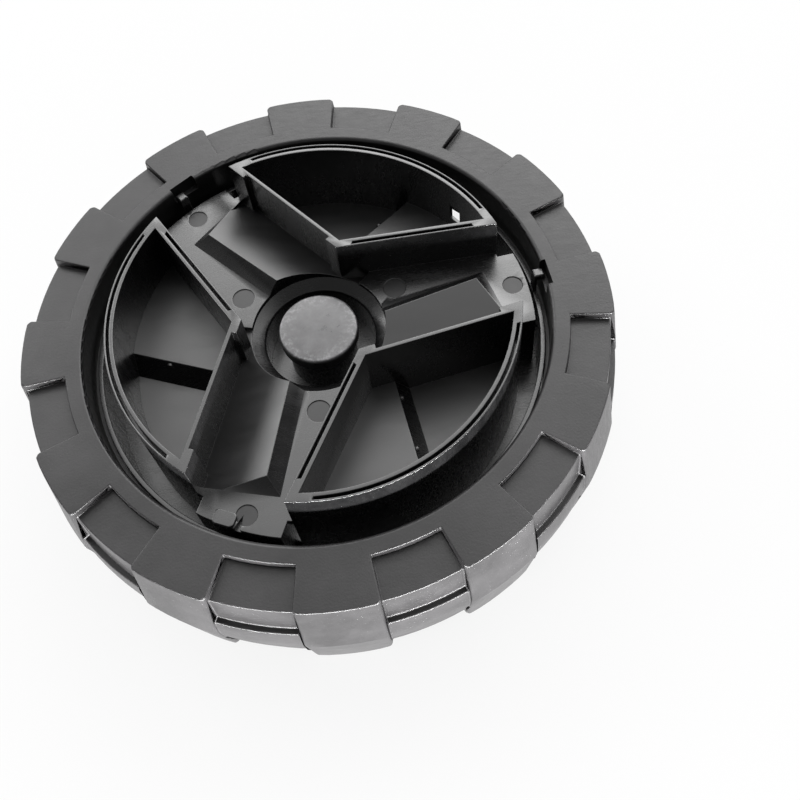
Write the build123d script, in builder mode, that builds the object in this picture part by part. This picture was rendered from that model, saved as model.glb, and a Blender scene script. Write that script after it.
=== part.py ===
# Lawn mower wheel, 180 mm: a lugged tyre clipped over a pocketed wheel centre, with a hub cap.
import os
from math import atan2, cos, degrees, radians, sin
from build123d import *

# Tyre
tread_radius = 90.0             # over the lugs, at mid width
tyre_width = 43.0
shoulder_drop = 2.9             # fall of the lugs from mid width to the side faces
lug_count = 12
recess_angle = 15.0             # opening between two lugs
recess_depth = 2.6              # side face down to the recess floor
recess_inner_radius = 74.3
recess_wall_drop = 4.1          # outer end of the recess floor below the tread
ledge_depth = 14.5              # side face down to the middle rib
ledge_drop = 3.3
rib_shoulder_drop = 1.5
rib_drop = 0.9                  # middle rib between the lugs, below the tread
tyre_bore_radius = 69.0         # inner edge of the side face
bore_edge_radius = 1.3
tread_wall = 7.5                # tread to the hollow inside the tyre
side_wall = 6.0                 # near side face to the hollow
bore_lip = 3.5
bore_lip_height = 17.0
tyre_web = 2.4                  # webs across the hollow, one behind each lug

# Levels of the wheel centre above the far side face
strip_height = 50.4             # tops of the pocket walls
plateau_height = 35.5           # flat of the spokes
ridge_height = 39.9             # crest of the ramp on each spoke
rim_top_height = 32.1
hub_tube_height = 33.0
funnel_height = 34.0            # outer edge of the funnel round the hub
funnel_foot = 31.3
shelf_height = 30.4             # higher half of each pocket floor
floor_height = 23.6             # lower half of each pocket floor
gap_floor_height = 12.0
well_floor_height = 20.0

# Rim
plate = 2.5                     # webs and floors
rim_outer_radius = 67.7
rim_wall = 1.4
flange_radius = 72.0
flange_thickness = 3.0
fit_gap = 0.3                   # tyre over the rim wall and the flange, cap spigot in its seat
seat_height = 30.0              # tyre bore widens above this level

# Pockets, in axes along the middle of each pocket
pocket_count = 3
pocket_angle = 66.15            # middle of the first pocket from +X
pocket_radius = 57.75           # inside of the curved wall
pocket_half_angle = 42.95
pocket_apex = 23.55             # inside corner of the two straight walls
strip_width = 1.2
groove_width = 0.85
outer_rib = 0.6
groove_depth = 6.0
pad_radius = 4.0                # groove stops at solid corner pads
pad_length = 3.4                # pads at the ends of the thin straight wall
pocket_wall = strip_width + groove_width + outer_rib
shelf_edge = (38.7, 0.1)        # a point on the edge of the higher floor
shelf_edge_angle = -27.5
shelf_slope_run = 4.1
nub_radius = 1.0
nub_length = 1.2
nub_spacing = 17.0
nub_drop = 1.6
window_angle = -28.75           # small window in the first curved wall, from the middle of the pocket
window_width = 4.2
window_floor = 34.5
window_height = 6.5
relief_width = 12.0             # thinned back of the wall round the window
relief_floor = 27.0
relief_height = 16.0
rim_window_angle = -21.9
rim_window_width = 9.0
rim_window_floor = 16.0
rim_window_height = 9.0

# Spokes, in axes along each spoke
spoke_angle = pocket_angle - 180.0 / pocket_count
end_plate_half_width = 12.6
end_plate_radius = 65.0
end_plate_root = 48.0
end_skirt = 2.0
ramp_corner = (52.9, 8.2)       # outer corner of the ramp on the plateau
ramp_angle = 8.9
ramp_run = 4.0                  # sloped sides of the ramp, in plan
ramp_fall = 19.0                # fall of the ramp away from its crest
ramp_length = 52.0
ramp_width = 42.0
mark_depth = 0.3
end_mark = (60.4, 1.2)
end_mark_radius = 3.0
hub_mark = (25.3, 9.3)
hub_mark_radius = 3.4

# Raised tab and slot on one spoke end, latches by the other two and their notches in the tyre
tab_place = (63.1, -4.1)
tab_length = 4.2
tab_width = 6.5
tab_corner = 1.2
tab_height = 1.2
slot_inner = 60.8
slot_offset = 0.2
slot_width = 1.8                # at the outer edge, the inner end is a point
slot_depth = 1.6
latch_count = 2
latch_offset = 0.8
latch_width = 3.0
latch_stem = 1.0
latch_radius = 69.8
latch_thickness = 2.2
latch_edge_radius = 0.6
notch_depth = 5.0
notch_radius = 70.6
notch_width = 8.7
notch_offset = -1.45

# Hub
bore_radius = 6.05              # runs on a 12 mm pin
hub_tube_radius = 10.4
well_radius = 16.75
funnel_radius = 20.4
hub_core_radius = 22.5
hub_web = 4.0
cap_radius = 11.9
cap_height = 4.1
cap_edge_radius = 0.8
spigot_radius = 8.0
spigot_length = 5.0
far_rib = 2.2
far_rib_floor = 3.0
far_rib_count = 6

near_face = tyre_width
mid_width = tyre_width / 2
wall_foot = gap_floor_height - plate
reach = tyre_width + strip_height   # longer than any cut needs
block_radius = pocket_radius + pocket_wall
pocket_corner_x = pocket_radius * cos(radians(pocket_half_angle))
pocket_corner_y = pocket_radius * sin(radians(pocket_half_angle))
wall_angle = degrees(atan2(pocket_corner_y, pocket_corner_x - pocket_apex))   # straight pocket walls
wall_length = pocket_corner_y / sin(radians(wall_angle))
shoulder_radius = tread_radius - shoulder_drop
hollow_radius = tread_radius - tread_wall
hollow_inner_radius = tyre_bore_radius + bore_lip
hollow_top = near_face - side_wall
bore_lip_foot = near_face - bore_lip_height
rim_fit_radius = rim_outer_radius + fit_gap
rim_middle_radius = rim_outer_radius - rim_wall / 2
notch_floor = near_face - notch_depth
latch_top = notch_floor + latch_thickness
latch_range = 360.0 / pocket_count * (latch_count - 1)
tab_angle = spoke_angle + 360.0 / pocket_count * latch_count
slot_length = end_plate_radius - slot_inner
cap_top = hub_tube_height + cap_height

# Space between two lugs, with the middle rib left standing
with BuildPart() as recess:
    with BuildSketch(Plane.XZ):
        with BuildLine():
            Polyline(
                (recess_inner_radius, near_face - recess_depth),
                (tread_radius - recess_wall_drop, near_face - recess_depth),
                (tread_radius - ledge_drop, near_face - ledge_depth),
                (tread_radius - rib_shoulder_drop, near_face - ledge_depth),
                (tread_radius - rib_drop, mid_width),
                (tread_radius - rib_shoulder_drop, ledge_depth),
                (tread_radius - ledge_drop, ledge_depth),
                (tread_radius - recess_wall_drop, recess_depth),
                (recess_inner_radius, recess_depth),
                (recess_inner_radius, -recess_depth),
                (tread_radius + recess_depth, -recess_depth),
                (tread_radius + recess_depth, near_face + recess_depth),
                (recess_inner_radius, near_face + recess_depth),
                close=True,
            )
        make_face()
    revolve(axis=Axis.Z, revolution_arc=recess_angle)

# Web across the hollow of the tyre, standing on the flange of the rim
with BuildPart() as tyre_webbing:
    with BuildSketch(Plane.XZ):
        with BuildLine():
            Polyline(
                (rim_fit_radius, flange_thickness),
                (hollow_radius + tyre_web, flange_thickness),
                (hollow_radius + tyre_web, hollow_top + tyre_web),
                (tyre_bore_radius + bore_lip / 2, hollow_top + tyre_web),
                (tyre_bore_radius + bore_lip / 2, bore_lip_foot + tyre_web),
                (rim_fit_radius, bore_lip_foot + tyre_web),
                close=True,
            )
        make_face()
    extrude(amount=tyre_web / 2, both=True)

# Tyre: crowned shell, open on the far side, its bore lip over the rim wall
with BuildPart() as tyre:
    with BuildSketch(Plane.XZ):
        with BuildLine():
            Polyline(
                (hollow_radius, 0),
                (shoulder_radius, 0),
                (tread_radius, mid_width),
                (shoulder_radius, near_face),
                (tyre_bore_radius, near_face),
                (tyre_bore_radius, seat_height),
                (rim_fit_radius, seat_height),
                (rim_fit_radius, bore_lip_foot),
                (hollow_inner_radius, bore_lip_foot),
                (hollow_inner_radius, hollow_top),
                (hollow_radius, hollow_top),
                close=True,
            )
        make_face()
    revolve(axis=Axis.Z)
    bore_edge = tyre.edges().filter_by(GeomType.CIRCLE).group_by(Axis.Z)[-1].sort_by(SortBy.RADIUS)[0]
    fillet(bore_edge, bore_edge_radius)
    with PolarLocations(0, lug_count, start_angle=(360 / lug_count - recess_angle) / 2):
        add(recess.part, mode=Mode.SUBTRACT)
    with PolarLocations(0, lug_count):
        add(tyre_webbing.part)
    with BuildSketch(Plane.XY.offset(notch_floor)):
        with PolarLocations(0, latch_count, spoke_angle, latch_range, endpoint=True):
            with Locations((notch_radius / 2, notch_offset)):
                Rectangle(notch_radius, notch_width)
    extrude(amount=reach, mode=Mode.SUBTRACT)
tyre.part.label = "tyre"

# Inside outline of one pocket
with BuildSketch() as pocket_space:
    with BuildLine():
        Line((pocket_apex, 0), (pocket_corner_x, -pocket_corner_y))
        ThreePointArc(
            (pocket_corner_x, -pocket_corner_y),
            (pocket_radius, 0),
            (pocket_corner_x, pocket_corner_y),
        )
        Line((pocket_corner_x, pocket_corner_y), (pocket_apex, 0))
    make_face()

# Walls of a pocket, one straight wall thinned to the strip between its corner pads
with BuildSketch() as pocket_block:
    add(pocket_space.sketch)
    offset(amount=pocket_wall, kind=Kind.INTERSECTION)
    with Locations(Location((pocket_apex, 0), wall_angle)):
        with Locations((wall_length / 2, strip_width + pocket_wall / 2)):
            Rectangle(wall_length - 2 * pad_length, pocket_wall, mode=Mode.SUBTRACT)

with BuildSketch() as pocket_strip:
    add(pocket_space.sketch)
    offset(amount=strip_width, kind=Kind.INTERSECTION)

# Groove in the wall tops, closed by a pad at each corner
with BuildSketch() as pocket_groove:
    add(pocket_space.sketch)
    offset(amount=strip_width + groove_width, kind=Kind.INTERSECTION)
    add(pocket_strip.sketch, mode=Mode.SUBTRACT)
    with Locations((pocket_apex, 0), (pocket_corner_x, pocket_corner_y), (pocket_corner_x, -pocket_corner_y)):
        Circle(pad_radius, mode=Mode.SUBTRACT)

# Lower half of a pocket, down a slope from the edge of the higher floor
edge_direction = Vector(1, 0, 0).rotate(Axis.Z, shelf_edge_angle)
edge_normal = Vector(0, 1, 0).rotate(Axis.Z, shelf_edge_angle)
with BuildPart() as sump:
    with BuildSketch(Plane((*shelf_edge, 0), x_dir=edge_normal, z_dir=edge_direction)):
        with BuildLine():
            Polyline(
                (0, shelf_height),
                (shelf_slope_run, floor_height),
                (reach, floor_height),
                (reach, reach),
                (0, reach),
                close=True,
            )
        make_face()
    extrude(amount=reach, both=True)
    with BuildSketch():
        add(pocket_space.sketch)
    extrude(amount=2 * reach, mode=Mode.INTERSECT)

# Open space under a pocket floor, seen from the far side
with BuildPart() as underside:
    with BuildSketch():
        add(pocket_space.sketch)
    extrude(amount=shelf_height - plate)
    with Locations((0, 0, -plate)):
        add(sump.part, mode=Mode.SUBTRACT)

# Moulding nubs on the slope between the two floors of a pocket
with BuildPart() as nubs:
    for along in (-nub_spacing / 2, nub_spacing / 2):
        nub_place = Vector(*shelf_edge, shelf_height - nub_drop) + edge_direction * along
        with BuildSketch(Plane(nub_place, z_dir=edge_normal)):
            Circle(nub_radius)
        extrude(amount=nub_length, both=True)

# Flat between the pockets along one spoke
with BuildSketch() as channel:
    Circle(block_radius)
    Circle(funnel_radius - outer_rib / 2, mode=Mode.SUBTRACT)
    with PolarLocations(0, pocket_count, start_angle=180.0 / pocket_count):
        add(pocket_block.sketch, mode=Mode.SUBTRACT)

# Outer ends of the spokes, out to the gap inside the rim
with BuildSketch() as end_plates:
    with PolarLocations(0, pocket_count, start_angle=spoke_angle):
        with Locations((end_plate_root, 0)):
            Rectangle(reach, 2 * end_plate_half_width, align=(Align.MIN, Align.CENTER))
    Circle(end_plate_radius, mode=Mode.INTERSECT)

with BuildSketch() as end_cores:
    with PolarLocations(0, pocket_count, start_angle=spoke_angle):
        with Locations((end_plate_root, 0)):
            Rectangle(reach, 2 * (end_plate_half_width - end_skirt), align=(Align.MIN, Align.CENTER))
    Circle(end_plate_radius - end_skirt, mode=Mode.INTERSECT)

# Latches on the rim wall, reaching out into the notches of the tyre
with BuildPart() as latch:
    with BuildSketch(Plane.XY.offset(rim_top_height - plate)):
        with Locations((end_plate_radius, latch_offset)):
            Rectangle(end_plate_radius, latch_width, align=(Align.MIN, Align.CENTER))
        Circle(latch_radius, mode=Mode.INTERSECT)
        Circle(rim_middle_radius - latch_stem / 2, mode=Mode.SUBTRACT)
    extrude(amount=latch_top - rim_top_height + plate)
    fillet(latch.faces().sort_by(Axis.Z)[-1].edges(), latch_edge_radius)
    with BuildSketch(Plane.XY.offset(notch_floor)):
        Circle(reach)
        Circle(rim_middle_radius + latch_stem / 2, mode=Mode.SUBTRACT)
    extrude(amount=-reach, mode=Mode.SUBTRACT)

# Ramp on a spoke: sloped long side and end, top falling away from the crest
ramp_place = Location((*ramp_corner, 0), (0, 0, ramp_angle))
ramp_across = Vector(0, -1, 0).rotate(Axis.Z, ramp_angle)
crest_point = Vector(*ramp_corner, ridge_height) + ramp_across * ramp_run
ramp_along = Vector(1, 0, 0).rotate(Axis.Z, ramp_angle)
ramp_rise = ridge_height - plateau_height
ramp_normal = ramp_across * sin(radians(ramp_fall)) + Vector(0, 0, cos(radians(ramp_fall)))
ramp_top = Plane(crest_point, x_dir=ramp_along, z_dir=ramp_normal)
with BuildPart() as ramp:
    with BuildSketch(Plane.XY.offset(plateau_height - 2 * plate)):
        with Locations(ramp_place):
            Rectangle(ramp_length, ramp_width, align=(Align.MAX, Align.MAX))
    extrude(amount=2 * plate)
    with BuildSketch(Plane.XY.offset(plateau_height)):
        with Locations(ramp_place):
            Rectangle(ramp_length, ramp_width, align=(Align.MAX, Align.MAX))
    extrude(amount=ramp_rise + plate, taper=degrees(atan2(ramp_run, ramp_rise)))
    with BuildSketch(ramp_top):
        Rectangle(2 * reach, 2 * reach)
    extrude(amount=reach, mode=Mode.SUBTRACT)
    with BuildSketch():
        add(channel.sketch)
    extrude(amount=reach, mode=Mode.INTERSECT)

# Space over the low side of a ramp, where it dips below the flat of the spoke
with BuildPart() as ramp_dip:
    with BuildSketch(Plane.XY.offset(plateau_height - 2 * plate)):
        with Locations(ramp_place):
            Rectangle(ramp_length, ramp_width, align=(Align.MAX, Align.MAX))
    extrude(amount=4 * plate)
    with BuildSketch(ramp_top):
        Rectangle(2 * reach, 2 * reach)
    extrude(amount=-reach, mode=Mode.SUBTRACT)
    with BuildSketch():
        add(channel.sketch)
    extrude(amount=reach, mode=Mode.INTERSECT)

# Wheel centre: pockets, spokes, rim wall and hub in one moulding
with BuildPart() as wheel_centre:
    with BuildSketch(Plane.XY.offset(wall_foot)):
        with PolarLocations(0, pocket_count, start_angle=pocket_angle):
            add(pocket_block.sketch)
    extrude(amount=strip_height - wall_foot)
    with BuildSketch(Plane.XY.offset(plateau_height - plate)):
        Circle(block_radius - outer_rib / 2)
        add(end_plates.sketch)
    extrude(amount=plate)
    with BuildSketch(Plane.XY.offset(wall_foot)):
        add(end_plates.sketch)
        add(end_cores.sketch, mode=Mode.SUBTRACT)
    extrude(amount=plateau_height - wall_foot)
    with BuildSketch(Plane.XY.offset(wall_foot)):
        Circle(rim_outer_radius)
        Circle(pocket_radius, mode=Mode.SUBTRACT)
    extrude(amount=plate)
    with BuildSketch():
        Circle(rim_outer_radius)
        Circle(rim_outer_radius - rim_wall, mode=Mode.SUBTRACT)
    extrude(amount=rim_top_height)
    with BuildSketch():
        Circle(flange_radius)
        Circle(rim_outer_radius - rim_wall, mode=Mode.SUBTRACT)
    extrude(amount=flange_thickness)
    with BuildSketch(Plane.XY.offset(wall_foot)):
        Circle(hub_core_radius)
    extrude(amount=plateau_height - wall_foot)
    with BuildSketch():
        Circle(hub_tube_radius)
    extrude(amount=plateau_height)
    with PolarLocations(0, pocket_count, start_angle=spoke_angle):
        add(ramp_dip.part, mode=Mode.SUBTRACT)
        add(ramp.part)
    with BuildSketch(Plane.XY.offset(shelf_height)):
        with PolarLocations(0, pocket_count, start_angle=pocket_angle):
            add(pocket_space.sketch)
    extrude(amount=reach, mode=Mode.SUBTRACT)
    with PolarLocations(0, pocket_count, start_angle=pocket_angle):
        add(sump.part, mode=Mode.SUBTRACT)
        add(nubs.part)
    with BuildSketch(Plane.XY.offset(strip_height - groove_depth)):
        with PolarLocations(0, pocket_count, start_angle=pocket_angle):
            add(pocket_groove.sketch)
    extrude(amount=reach, mode=Mode.SUBTRACT)
    with BuildSketch(Plane.XZ):
        with BuildLine():
            Polyline(
                (0, hub_tube_height),
                (hub_tube_radius, hub_tube_height),
                (hub_tube_radius, well_floor_height),
                (well_radius, well_floor_height),
                (well_radius, funnel_foot),
                (funnel_radius, funnel_height),
                (funnel_radius, reach),
                (0, reach),
                close=True,
            )
        make_face()
    revolve(axis=Axis.Z, mode=Mode.SUBTRACT)
    with PolarLocations(0, pocket_count, start_angle=pocket_angle):
        add(underside.part, mode=Mode.SUBTRACT)
    with BuildSketch():
        Circle(well_radius)
        Circle(hub_tube_radius, mode=Mode.SUBTRACT)
    extrude(amount=well_floor_height - hub_web, mode=Mode.SUBTRACT)
    with BuildSketch(Plane.XY.offset(far_rib_floor)):
        with PolarLocations(0, far_rib_count, start_angle=spoke_angle):
            Rectangle(reach, far_rib, align=(Align.MIN, Align.CENTER))
        Circle(rim_middle_radius, mode=Mode.INTERSECT)
    extrude(amount=gap_floor_height - plate / 2 - far_rib_floor)
    with BuildSketch():
        Circle(bore_radius)
    extrude(amount=reach, mode=Mode.SUBTRACT)
    with BuildSketch(Plane.XY.offset(hub_tube_height - spigot_length)):
        Circle(spigot_radius + fit_gap)
    extrude(amount=spigot_length, mode=Mode.SUBTRACT)
    with BuildSketch(Plane.XY.offset(plateau_height - mark_depth)):
        with PolarLocations(0, pocket_count, start_angle=spoke_angle):
            with Locations(end_mark):
                Circle(end_mark_radius)
            with Locations(hub_mark):
                Circle(hub_mark_radius)
    extrude(amount=mark_depth, mode=Mode.SUBTRACT)
    with BuildSketch(Plane.XY.offset(plateau_height)):
        with PolarLocations(0, 1, start_angle=tab_angle):
            with Locations(tab_place):
                RectangleRounded(tab_length, tab_width, tab_corner)
    extrude(amount=tab_height)
    with BuildSketch(Plane.XY.offset(plateau_height)):
        with PolarLocations(0, 1, start_angle=tab_angle):
            with Locations((slot_inner, slot_offset)):
                Polygon((0, 0), (slot_length, -slot_width / 2), (slot_length, slot_width / 2), align=None)
    extrude(amount=-slot_depth, mode=Mode.SUBTRACT)
    with PolarLocations(0, latch_count, spoke_angle, latch_range, endpoint=True):
        add(latch.part)
    with BuildSketch(Plane.XY.offset(window_floor)):
        with PolarLocations(pocket_radius, 1, start_angle=pocket_angle + window_angle):
            Rectangle(2 * pocket_wall, window_width)
    extrude(amount=window_height, mode=Mode.SUBTRACT)
    with BuildSketch(Plane.XY.offset(relief_floor)):
        with PolarLocations(block_radius, 1, start_angle=pocket_angle + window_angle):
            Rectangle(2 * (groove_width + outer_rib), relief_width)
    extrude(amount=relief_height, mode=Mode.SUBTRACT)
    with BuildSketch(Plane.XY.offset(rim_window_floor)):
        with PolarLocations(rim_outer_radius, 1, start_angle=pocket_angle + rim_window_angle):
            Rectangle(4 * rim_wall, rim_window_width)
    extrude(amount=rim_window_height, mode=Mode.SUBTRACT)
wheel_centre.part.label = "wheel_centre"

# Hub cap: flat head with a rounded edge on the tube end, spigot pressed into it
with BuildPart() as hub_cap:
    with BuildSketch(Plane.XZ):
        with BuildLine():
            Polyline(
                (0, cap_top),
                (0, hub_tube_height - spigot_length),
                (spigot_radius, hub_tube_height - spigot_length),
                (spigot_radius, hub_tube_height),
                (cap_radius, hub_tube_height),
                (cap_radius, cap_top),
                close=True,
            )
        make_face()
    revolve(axis=Axis.Z)
    fillet(hub_cap.edges().group_by(Axis.Z)[-1], cap_edge_radius)
hub_cap.part.label = "hub_cap"

os.makedirs("parts", exist_ok=True)
export_step(tyre.part, "parts/tyre.step")
export_step(wheel_centre.part, "parts/wheel_centre.step")
export_step(hub_cap.part, "parts/hub_cap.step")
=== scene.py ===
import math
import bmesh
import bpy
from mathutils import Matrix, Vector


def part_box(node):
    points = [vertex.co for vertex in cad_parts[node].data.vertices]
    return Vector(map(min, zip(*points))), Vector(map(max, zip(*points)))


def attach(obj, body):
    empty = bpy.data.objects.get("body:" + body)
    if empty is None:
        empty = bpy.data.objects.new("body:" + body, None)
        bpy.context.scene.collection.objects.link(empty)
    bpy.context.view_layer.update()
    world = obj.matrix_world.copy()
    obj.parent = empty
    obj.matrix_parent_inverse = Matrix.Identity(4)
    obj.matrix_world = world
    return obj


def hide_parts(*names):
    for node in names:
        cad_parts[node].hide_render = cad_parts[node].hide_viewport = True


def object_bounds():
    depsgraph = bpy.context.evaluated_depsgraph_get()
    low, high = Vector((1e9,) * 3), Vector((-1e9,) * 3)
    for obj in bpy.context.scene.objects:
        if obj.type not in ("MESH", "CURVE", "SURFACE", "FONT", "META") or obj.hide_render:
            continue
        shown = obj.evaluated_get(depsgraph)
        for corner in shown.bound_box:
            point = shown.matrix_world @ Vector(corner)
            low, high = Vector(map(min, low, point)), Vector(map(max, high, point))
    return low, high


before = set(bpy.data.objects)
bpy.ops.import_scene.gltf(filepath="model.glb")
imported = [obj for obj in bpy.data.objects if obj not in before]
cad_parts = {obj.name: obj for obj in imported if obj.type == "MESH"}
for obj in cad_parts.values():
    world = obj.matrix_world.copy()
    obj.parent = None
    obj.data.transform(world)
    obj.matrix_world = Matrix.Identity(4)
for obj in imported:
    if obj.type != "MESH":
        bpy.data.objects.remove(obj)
cadBox = [list(corner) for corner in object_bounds()]
scene = bpy.context.scene
scene.view_settings.view_transform = "Standard"
print("frame loaded:", sorted(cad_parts))


# small helpers for shader trees
def newMaterial(name):
    material = bpy.data.materials.new(name)
    material.use_nodes = True
    tree = material.node_tree
    shader = tree.nodes["Principled BSDF"]
    return material, tree, shader


def addNode(tree, kind, **settings):
    node = tree.nodes.new(kind)
    for key, value in settings.items():
        if key in node.inputs:
            node.inputs[key].default_value = value
        else:
            setattr(node, key, value)
    return node


def objectCoords(tree, scale=(1, 1, 1), turn=0.0):
    coords = tree.nodes.new("ShaderNodeTexCoord")
    mapping = tree.nodes.new("ShaderNodeMapping")
    mapping.inputs["Scale"].default_value = scale
    mapping.inputs["Rotation"].default_value = (0, 0, math.radians(turn))
    tree.links.new(coords.outputs["Object"], mapping.inputs["Vector"])
    return mapping.outputs["Vector"]


def noise(tree, vector, scale, detail=3.0, rough=0.55):
    node = addNode(tree, "ShaderNodeTexNoise", Scale=scale, Detail=detail, Roughness=rough)
    tree.links.new(vector, node.inputs["Vector"])
    return node.outputs["Fac"]


def ramp(tree, value, stops):
    node = tree.nodes.new("ShaderNodeValToRGB")
    elements = node.color_ramp.elements
    while len(elements) < len(stops):
        elements.new(0.5)
    for element, (place, colour) in zip(elements, stops):
        element.position = place
        element.color = (*colour, 1)
    tree.links.new(value, node.inputs["Fac"])
    return node.outputs["Color"]


def spread(tree, value, low, high, fromLow=0.3, fromHigh=0.7):
    node = addNode(tree, "ShaderNodeMapRange")
    node.inputs["From Min"].default_value = fromLow
    node.inputs["From Max"].default_value = fromHigh
    node.inputs["To Min"].default_value = low
    node.inputs["To Max"].default_value = high
    tree.links.new(value, node.inputs["Value"])
    return node.outputs["Result"]


def maths(tree, operation, a, b):
    node = tree.nodes.new("ShaderNodeMath")
    node.operation = operation
    for socket, value in zip(node.inputs, (a, b)):
        if isinstance(value, (int, float)):
            socket.default_value = value
        else:
            tree.links.new(value, socket)
    return node.outputs["Value"]


def mixColour(tree, factor, a, b):
    node = addNode(tree, "ShaderNodeMix", data_type="RGBA")
    sockets = (node.inputs["Factor"], node.inputs[6], node.inputs[7])  # 6 and 7 are the colours
    for socket, value in zip(sockets, (factor, a, b)):
        if isinstance(value, (int, float)):
            socket.default_value = value
        elif isinstance(value, tuple):
            socket.default_value = (*value, 1)
        else:
            tree.links.new(value, socket)
    return node.outputs[2]


def bump(tree, heights, shader):
    previous = None
    for height, strength, distance in heights:
        node = addNode(tree, "ShaderNodeBump", Strength=strength, Distance=distance)
        tree.links.new(height, node.inputs["Height"])
        if previous:
            tree.links.new(previous, node.inputs["Normal"])
        previous = node.outputs["Normal"]
    tree.links.new(previous, shader.inputs["Normal"])


# how far a point lies on a rounded or worn edge, 0 on flats and 1 on edges
def edgeMask(tree, radius, low, high):
    soft = addNode(tree, "ShaderNodeBevel", samples=6, Radius=radius)
    plain = tree.nodes.new("ShaderNodeNewGeometry")
    dot = addNode(tree, "ShaderNodeVectorMath", operation="DOT_PRODUCT")
    tree.links.new(soft.outputs["Normal"], dot.inputs[0])
    tree.links.new(plain.outputs["True Normal"], dot.inputs[1])
    return spread(tree, dot.outputs["Value"], 1.0, 0.0, low, high)


# tyre: matte black moulding with a fine grain, scuffs on the flats, and edges painted paler, partly wear and
# partly a painted edge highlight
tyreFinish = {
    "dark": (0.0125, 0.0120, 0.0125),
    "light": (0.0275, 0.0265, 0.0275),
    # paler colour on rounded edges: partly wear, partly a painted edge highlight
    "edge": (0.055, 0.0535, 0.055),
    "edgeRadius": 0.0006,
    "edgeRange": (0.80, 0.99),
    "edgeDull": 0.25,  # rubbed edges are rougher
    "patchScale": 60.0,
    "scuffScale": 260.0,
    "scuffStretch": (1, 4, 1),
    "scuffTurn": 25,
    "grainScale": 1600.0,
    "grainDepth": 0.0001,
    "sheen": (0.36, 0.44),
    "scuffSheen": (-0.04, 0.06),
    "specular": 0.53,
}


def makeTyreMaterial(name, finish):
    material, tree, shader = newMaterial(name)
    place = objectCoords(tree)
    patches = noise(tree, place, finish["patchScale"], 5.0, 0.6)
    along = objectCoords(tree, finish["scuffStretch"], finish["scuffTurn"])
    scuffs = noise(tree, along, finish["scuffScale"], 4.0, 0.6)
    grain = noise(tree, place, finish["grainScale"], 2.0)
    body = ramp(tree, patches, [(0.35, finish["dark"]), (0.7, finish["light"])])
    rims = edgeMask(tree, finish["edgeRadius"], *finish["edgeRange"])
    edges = maths(tree, "MULTIPLY", rims, spread(tree, scuffs, 0.2, 0.9))
    # edges painted paler, standing partly for wear and partly for their highlight
    tree.links.new(mixColour(tree, edges, body, finish["edge"]), shader.inputs["Base Color"])
    sheen = maths(tree, "ADD", spread(tree, patches, *finish["sheen"]),
                  spread(tree, scuffs, *finish["scuffSheen"]))
    worn = maths(tree, "MULTIPLY", edges, finish["edgeDull"])
    tree.links.new(maths(tree, "ADD", sheen, worn), shader.inputs["Roughness"])
    bump(tree, [(grain, 0.35, finish["grainDepth"]), (scuffs, 0.10, 0.0001)], shader)
    shader.inputs["Specular IOR Level"].default_value = finish["specular"]
    return material


# wheel centre: black satin moulding with flow streaks, its edges painted paler, partly wear and partly a
# painted edge highlight
centreFinish = {
    "dark": (0.0035, 0.0035, 0.0037),
    "light": (0.0085, 0.0084, 0.0088),
    # paler colour on all rounded edges: partly wear, partly a painted edge highlight
    "edge": (0.060, 0.060, 0.061),
    "edgeRadius": 0.0003,
    "edgeRange": (0.80, 0.99),
    "edgeDull": 0.35,  # rubbed edges are rougher
    "edgeShare": 0.6,
    "smooth": 0.20,
    "dull": 0.30,
    "streakScale": 45.0,
    "streakStretch": (1, 5, 1),
    "streakTurn": 36,
    "scratchScale": 420.0,
    "scratchStretch": (1, 9, 1),
    "scratchTurn": -20,
    "scratchSheen": (-0.03, 0.05),
    "grainScale": 1100.0,
    "specular": 0.9,
    "ior": 1.6,
}


def makeCentreMaterial(name, finish):
    material, tree, shader = newMaterial(name)
    place = objectCoords(tree)
    flow = objectCoords(tree, finish["streakStretch"], finish["streakTurn"])
    streaks = noise(tree, flow, finish["streakScale"], 5.0, 0.6)
    rub = objectCoords(tree, finish["scratchStretch"], finish["scratchTurn"])
    scratches = noise(tree, rub, finish["scratchScale"], 3.0, 0.6)
    grain = noise(tree, place, finish["grainScale"], 2.0)
    body = ramp(tree, streaks, [(0.35, finish["dark"]), (0.7, finish["light"])])
    edges = edgeMask(tree, finish["edgeRadius"], *finish["edgeRange"])
    # edges painted paler, standing partly for wear and partly for their highlight
    share = maths(tree, "MULTIPLY", edges, finish["edgeShare"])
    tree.links.new(mixColour(tree, share, body, finish["edge"]), shader.inputs["Base Color"])
    sheen = maths(tree, "ADD", spread(tree, streaks, finish["smooth"], finish["dull"]),
                  spread(tree, scratches, *finish["scratchSheen"]))
    worn = maths(tree, "MULTIPLY", edges, finish["edgeDull"])
    tree.links.new(maths(tree, "ADD", sheen, worn), shader.inputs["Roughness"])
    bump(tree, [(grain, 0.05, 0.00005), (scratches, 0.02, 0.00005)], shader)
    shader.inputs["Specular IOR Level"].default_value = finish["specular"]
    shader.inputs["IOR"].default_value = finish["ior"]
    return material


# round marks left by the mould's ejector pins: duller than the moulding about them
markFinish = {
    "dark": (0.0100, 0.0100, 0.0103),
    "light": (0.0200, 0.0198, 0.0204),
    "turnScale": 900.0,
    "turnStretch": (1, 6, 1),
    "turnAngle": 70,
    "sheen": (0.40, 0.50),
    "specular": 0.7,
}


def makeMarkMaterial(finish):
    material, tree, shader = newMaterial("ejectorMark")
    lines = objectCoords(tree, finish["turnStretch"], finish["turnAngle"])
    turned = noise(tree, lines, finish["turnScale"], 3.0, 0.6)
    body = ramp(tree, turned, [(0.35, finish["dark"]), (0.7, finish["light"])])
    tree.links.new(body, shader.inputs["Base Color"])
    tree.links.new(spread(tree, turned, *finish["sheen"]), shader.inputs["Roughness"])
    bump(tree, [(turned, 0.10, 0.00005)], shader)
    shader.inputs["Specular IOR Level"].default_value = finish["specular"]
    return material
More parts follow.
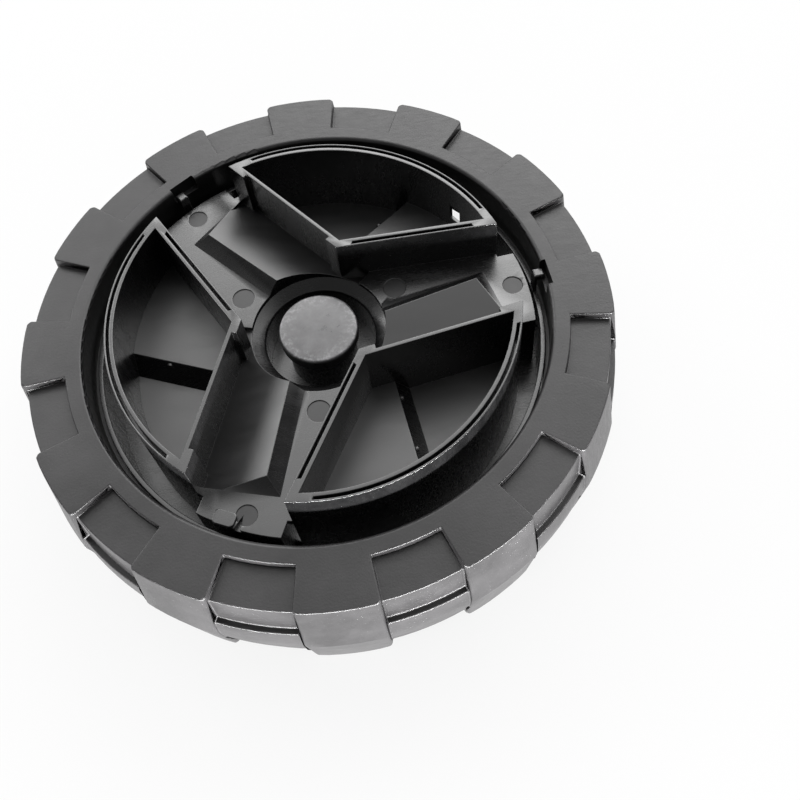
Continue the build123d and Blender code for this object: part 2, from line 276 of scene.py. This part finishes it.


# hub cap: dark disc whose top is painted paler than its side as a painted reflection, with scuffs, and paler
# still towards the rim as scuff wear and a painted highlight; the side is kept near black as painted shade
capFinish = {
    # side: near black, painted shade below the top's edge
    "side": (0.0050, 0.0050, 0.0053),
    # top colours painted well paler than the moulding, as a painted reflection
    "dark": (0.050, 0.049, 0.051),
    "light": (0.110, 0.108, 0.112),
    # paler towards the rim: scuff wear and a painted highlight
    "rim": (0.240, 0.238, 0.242),
    "rimInner": 0.0065,
    "rimOuter": 0.0118,
    "top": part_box("hub_cap")[1][2],
    "sideShadeDepth": 0.0006,  # how far down the edge the paler top reaches before the side's painted shade is full
    "topDepth": 0.0001,
    "scuffScale": 180.0,
    "fleckScale": 620.0,
    "fleckRange": (0.48, 0.66),
    "sheen": (0.24, 0.40),
    "specular": 0.9,
}


def makeCapMaterial(finish):
    material, tree, shader = newMaterial("capSatin")
    place = objectCoords(tree)
    scuffs = noise(tree, place, finish["scuffScale"], 6.0, 0.65)
    flecks = noise(tree, place, finish["fleckScale"], 4.0, 0.7)
    split = tree.nodes.new("ShaderNodeSeparateXYZ")
    tree.links.new(place, split.inputs["Vector"])
    # the side below the top takes the painted shade, the top the paler colour painted for its reflection
    sideShadeTop, paleTopStart = finish["top"] - finish["sideShadeDepth"], finish["top"] - finish["topDepth"]
    onTop = spread(tree, split.outputs["Z"], 0.0, 1.0, sideShadeTop, paleTopStart)
    out = addNode(tree, "ShaderNodeVectorMath", operation="LENGTH")
    tree.links.new(objectCoords(tree, (1, 1, 0)), out.inputs[0])
    nearRim = spread(tree, out.outputs["Value"], 0.0, 1.0, finish["rimInner"], finish["rimOuter"])
    body = ramp(tree, scuffs, [(0.35, finish["dark"]), (0.7, finish["light"])])
    # towards the rim: flecks of scuff wear, which also paint its highlight
    rimScuffAndGlint = maths(tree, "MULTIPLY", nearRim, spread(tree, flecks, 0.0, 1.0, *finish["fleckRange"]))
    scuffsAndReflection = mixColour(tree, rimScuffAndGlint, body, finish["rim"])
    tree.links.new(mixColour(tree, onTop, finish["side"], scuffsAndReflection), shader.inputs["Base Color"])
    tree.links.new(spread(tree, scuffs, *finish["sheen"]), shader.inputs["Roughness"])
    bump(tree, [(scuffs, 0.10, 0.0002), (flecks, 0.06, 0.0001)], shader)
    shader.inputs["Specular IOR Level"].default_value = finish["specular"]
    return material


# the tyre's bore: the same moulding painted much darker, as painted shade
shadedBoreFinish = {**tyreFinish, "dark": (0.004, 0.004, 0.004), "light": (0.008, 0.008, 0.008)}
dullFinish = {**centreFinish, "smooth": 0.33, "dull": 0.42}  # ramps and pocket floors, less polished
tyreMaterial = makeTyreMaterial("tyreGrain", tyreFinish)
shadedBoreMaterial = makeTyreMaterial("tyreBoreShade", shadedBoreFinish)
centreMaterial = makeCentreMaterial("centreSatin", centreFinish)
dullMaterial = makeCentreMaterial("dullSatin", dullFinish)
markMaterial = makeMarkMaterial(markFinish)
capMaterial = makeCapMaterial(capFinish)
print("materials made")


# angle in degrees between the two faces of an edge, 0 where there are not two
def fold(line):
    return math.degrees(line.calc_face_angle(0))


# hard edges that one rounding pass takes: beyond a radius, outward or upright ones where it says so
def hardEdges(bm, edge, step):
    chosen = []
    for line in bm.edges:
        if fold(line) < edge["round"]:
            continue
        run = line.verts[1].co - line.verts[0].co
        reach = min(vert.co.xy.length for vert in line.verts)
        beyond = step["beyond"] <= reach <= step.get("until", reach)
        facing = line.is_convex or not step["outward"]
        standing = abs(run.z) > 0.9 * run.length or not step["upright"]
        if beyond and facing and standing:
            chosen.append(line)
    return chosen


# lift a flat round top into a slight crown, ring by ring towards the axis
def crownTop(bm, rings):
    top = max(bm.faces, key=lambda face: face.calc_center_median().z + face.normal.z)
    ring = list(top.edges)
    bmesh.ops.delete(bm, geom=[top], context="FACES_ONLY")
    for draw, rise in rings:
        made = bmesh.ops.extrude_edge_only(bm, edges=ring)["geom"]
        verts = [item for item in made if isinstance(item, bmesh.types.BMVert)]
        bmesh.ops.scale(bm, vec=(draw, draw, 1), verts=verts)
        bmesh.ops.translate(bm, vec=(0, 0, rise), verts=verts)
        ring = [item for item in made if isinstance(item, bmesh.types.BMEdge) and item.is_boundary]
    bmesh.ops.contextual_create(bm, geom=ring)
    bmesh.ops.recalc_face_normals(bm, faces=bm.faces)


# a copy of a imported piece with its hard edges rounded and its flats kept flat
def roundedPiece(nodeName, pieceName, materials, edge):
    bm = bmesh.new()
    bm.from_mesh(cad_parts[nodeName].data)
    bmesh.ops.remove_doubles(bm, verts=bm.verts, dist=edge["merge"])
    bmesh.ops.dissolve_limit(bm, angle_limit=math.radians(edge["flat"]), verts=bm.verts, edges=bm.edges)
    wide = [face for face in bm.faces if len(face.verts) > edge["corners"]]
    bmesh.ops.triangulate(bm, faces=wide)  # plates with many holes stay sound when their edges move
    for face in bm.faces:
        middle = face.calc_center_median()
        for index, patch in enumerate(edge["patches"], 1):
            level = patch["low"] < middle.z < patch["high"]
            leaning = patch["least"] < face.normal.z < patch["most"]
            if level and leaning and middle.xy.length < patch["within"]:
                face.material_index = index
    for line in bm.edges:
        line.smooth = len(line.link_faces) == 2 and fold(line) < edge["crease"]
    if edge["crown"]:
        crownTop(bm, edge["crown"])
    for step in edge["passes"]:
        hard = hardEdges(bm, edge, step)
        for line in hard:
            line.smooth = True
        bmesh.ops.bevel(bm, geom=hard, offset=step["radius"], offset_type="OFFSET", segments=step["segments"],
                        profile=0.5, affect="EDGES", material=-1, clamp_overlap=False)
        print(pieceName, "rounded edges", len(hard))
    for vert in bm.verts:
        vert.co.z = max(vert.co.z, cadBox[0][2])  # nothing dips under the floor
    bm.normal_update()
    for line in bm.edges:
        if fold(line) > edge["keen"]:
            line.smooth = False  # where a rounded edge runs into a wall
    mesh = bpy.data.meshes.new(pieceName)
    bm.to_mesh(mesh)
    bm.free()
    for material in materials:
        mesh.materials.append(material)
    piece = bpy.data.objects.new(pieceName, mesh)
    scene.collection.objects.link(piece)
    for face in mesh.polygons:
        face.use_smooth = True
    flats = piece.modifiers.new("flatNormals", "WEIGHTED_NORMAL")
    flats.keep_sharp = True
    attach(piece, "root")
    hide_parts(nodeName)
    print(pieceName, "faces", len(mesh.polygons))


tyreEdges = {
    "merge": 1e-6,
    "flat": 0.5,
    "corners": 30,
    "crease": 12,
    "round": 30,
    "keen": 60,
    "passes": [
        # lug corners
        {"beyond": 0.0855, "outward": True, "upright": True, "radius": 0.0014, "segments": 4},
        # other edges
        {"beyond": 0.0730, "outward": False, "upright": False, "radius": 0.0004, "segments": 3},
    ],
    "crown": [],
    # faces of the bore, which take the painted shade
    "patches": [{"within": 0.0715, "low": 0.0, "high": 0.0425, "least": -0.5, "most": 0.5}],  # bore
}
centreEdges = {
    "merge": 1e-6,
    "flat": 0.5,
    "corners": 30,
    "crease": 12,
    "round": 30,
    "keen": 60,
    "passes": [
        # rim of the well
        {"beyond": 0.0164, "until": 0.0171, "outward": True, "upright": False, "radius": 0.0006, "segments": 3},
        # other edges
        {"beyond": 0.0, "outward": True, "upright": False, "radius": 0.0002, "segments": 2},
    ],
    "crown": [],
    "patches": [
        {"within": 0.0650, "low": 0.0351, "high": 0.0353, "least": 0.99, "most": 1.01},  # ejector marks
        {"within": 0.0650, "low": 0.0330, "high": 0.0420, "least": 0.93, "most": 0.96},  # ramps
        {"within": 0.0600, "low": 0.0200, "high": 0.0310, "least": 0.90, "most": 1.01},  # pocket floors
    ],
}
capEdges = {
    "merge": 1e-6,
    "flat": 0.5,
    "corners": 400,
    "crease": 25,
    "round": 40,
    "keen": 60,
    "passes": [{"beyond": 0.0, "outward": True, "upright": False, "radius": 0.0002, "segments": 2}],
    "crown": [(0.84, 0.00012), (0.81, 0.00010), (0.76, 0.00008), (0.68, 0.00005), (0.54, 0.00003)],
    "patches": [],
}

roundedPiece("tyre", "tyreRing", [tyreMaterial, shadedBoreMaterial], tyreEdges)
centreMaterials = [centreMaterial, markMaterial, dullMaterial, dullMaterial]  # in the order of the patches
roundedPiece("wheel_centre", "wheelCentre", centreMaterials, centreEdges)
roundedPiece("hub_cap", "hubCap", [capMaterial], capEdges)


# floor that shows white to the camera and keeps a faint shadow
floorLook = {"size": 3.0, "grey": (0.68, 0.68, 0.68, 1), "glow": 0.87}


def makeFloor(look):
    material, tree, shader = newMaterial("paleFloor")
    tree.nodes.remove(shader)
    output = tree.nodes["Material Output"]
    diffuse = addNode(tree, "ShaderNodeBsdfDiffuse", Color=look["grey"])
    glow = addNode(tree, "ShaderNodeEmission", Color=(1, 1, 1, 1), Strength=1.0)
    rays = tree.nodes.new("ShaderNodeLightPath")
    mix = tree.nodes.new("ShaderNodeMixShader")
    seen = maths(tree, "MAXIMUM", rays.outputs["Is Camera Ray"], rays.outputs["Is Glossy Ray"])
    tree.links.new(maths(tree, "MULTIPLY", seen, look["glow"]), mix.inputs["Fac"])
    tree.links.new(diffuse.outputs["BSDF"], mix.inputs[1])
    tree.links.new(glow.outputs["Emission"], mix.inputs[2])
    tree.links.new(mix.outputs["Shader"], output.inputs["Surface"])
    bm = bmesh.new()
    bmesh.ops.create_grid(bm, x_segments=1, y_segments=1, size=look["size"])
    mesh = bpy.data.meshes.new("floor")
    bm.to_mesh(mesh)
    bm.free()
    mesh.materials.append(material)
    floor = bpy.data.objects.new("floor", mesh)
    scene.collection.objects.link(floor)


# one broad soft light high behind and to the right, in a dim room; the camera sees white
surround = {"towards": (0.25, 0.72, 0.65), "dim": 0.14, "bright": 2.3, "edge": 0.42, "middle": 1.0}


def makeWorld(light):
    world = bpy.data.worlds.new("studio")
    scene.world = world
    world.use_nodes = True
    tree = world.node_tree
    back = tree.nodes["Background"]
    coords = tree.nodes.new("ShaderNodeTexCoord")
    facing = addNode(tree, "ShaderNodeVectorMath", operation="DOT_PRODUCT")
    facing.inputs[1].default_value = light["towards"]
    tree.links.new(coords.outputs["Generated"], facing.inputs[0])
    sky = spread(tree, facing.outputs["Value"], light["dim"], light["bright"], light["edge"], light["middle"])
    rays = tree.nodes.new("ShaderNodeLightPath")
    level = addNode(tree, "ShaderNodeMix", data_type="FLOAT")
    level.inputs[3].default_value = 1.0
    tree.links.new(rays.outputs["Is Camera Ray"], level.inputs[0])
    tree.links.new(sky, level.inputs[2])
    tree.links.new(level.outputs[0], back.inputs["Strength"])
    back.inputs["Color"].default_value = (1, 1, 1, 1)


def addLamp(name, place, target, size, watts):
    data = bpy.data.lights.new(name, "AREA")
    data.shape = "RECTANGLE"
    data.size, data.size_y = size
    data.energy = watts
    lamp = bpy.data.objects.new(name, data)
    scene.collection.objects.link(lamp)
    aim = (Vector(target) - Vector(place)).to_track_quat("-Z", "Y")
    lamp.matrix_world = Matrix.Translation(place) @ aim.to_matrix().to_4x4()
    lamp.visible_camera = False


makeFloor(floorLook)
makeWorld(surround)
addLamp("backSoft", (0.30, 0.75, 0.75), (0, 0, 0.03), (1.2, 0.5), 6.0)
addLamp("leftSoft", (-0.75, 0.65, 0.62), (0, 0, 0.03), (0.6, 0.6), 5.0)
addLamp("frontLow", (0.05, -0.60, 0.016), (0, -0.05, 0.016), (1.2, 0.026), 36.0)  # a low strip along the tread
print("floor, world and lamps made")

# camera at the photograph's angle
view = {
    "eye": (0.024584, -0.158325, 0.290485),
    "elevation": 58.790,
    "roll": 7.125,
    "lens": 44.952,
    "shift": (-0.00174, -0.08594),
}


def makeCamera(view):
    data = bpy.data.cameras.new("photoView")
    data.sensor_width = 36.0
    data.lens = view["lens"]
    data.shift_x, data.shift_y = view["shift"]
    data.clip_start = 0.01
    camera = bpy.data.objects.new("photoView", data)
    scene.collection.objects.link(camera)
    tilt = math.radians(view["elevation"])
    turn = math.radians(view["roll"])
    forward = Vector((0, math.cos(tilt), -math.sin(tilt)))
    side = Vector((1, 0, 0))
    down = forward.cross(side)
    right = math.cos(turn) * side + math.sin(turn) * down
    up = -(-math.sin(turn) * side + math.cos(turn) * down)
    axes = Matrix((right, up, -forward)).transposed().to_4x4()
    camera.matrix_world = Matrix.Translation(view["eye"]) @ axes
    scene.camera = camera


makeCamera(view)
bpy.context.view_layer.update()
